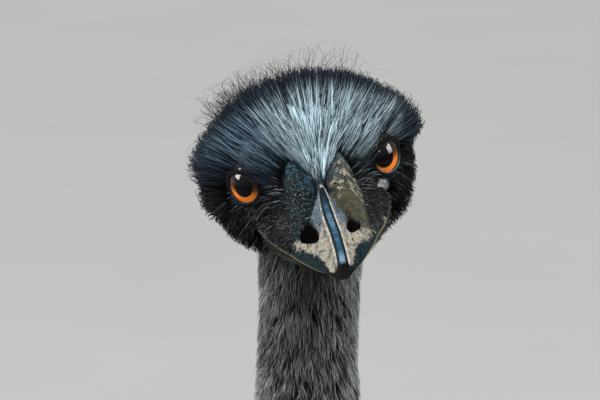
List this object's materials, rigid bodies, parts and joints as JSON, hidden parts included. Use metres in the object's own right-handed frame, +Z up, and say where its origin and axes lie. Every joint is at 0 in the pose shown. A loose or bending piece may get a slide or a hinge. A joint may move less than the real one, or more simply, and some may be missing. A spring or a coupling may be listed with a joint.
{
  "type": "emu",
  "caption": "Life-size still model of an adult emu standing on both feet, neck raised, head tilted towards the viewer, with dark shaggy plumage and orange eyes",
  "frame": {"origin": "On the floor under the middle of the bird's bounding box", "axes": "+Z up, the bird faces -Y, +X is the bird's left side"},
  "size_m": [0.461, 1.0259, 1.6424],
  "materials": {
    "plumage": "shaggy grey-brown feathers with dark tips",
    "crown": "fine blue-grey and black hair-like feathers over dark skin",
    "bill": "worn horn, satin, steel blue and tan with dark edges",
    "eye": "wet, orange-brown iris round a black pupil",
    "leg_skin": "scaly grey-brown skin, matte",
    "claw": "dark horn, worn at the tips"
  },
  "bodies": {
    "root": {"bill_lower": "bill", "bill_upper": "bill", "claw_inner_left": "claw", "claw_inner_right": "claw", "claw_middle_left": "claw", "claw_middle_right": "claw", "claw_outer_left": "claw", "claw_outer_right": "claw", "eye_left": "eye", "eye_right": "eye", "head": "crown", "neck_lower": "plumage", "neck_middle": "plumage", "neck_upper": "crown", "shank_left": "leg_skin", "shank_right": "leg_skin", "tail": "plumage", "thigh_left": "plumage", "thigh_right": "plumage", "toe_inner_left": "leg_skin", "toe_inner_right": "leg_skin", "toe_middle_left": "leg_skin", "toe_middle_right": "leg_skin", "toe_outer_left": "leg_skin", "toe_outer_right": "leg_skin", "torso": "plumage", "wing_left": "plumage", "wing_right": "plumage"}
  },
  "joints": []
}
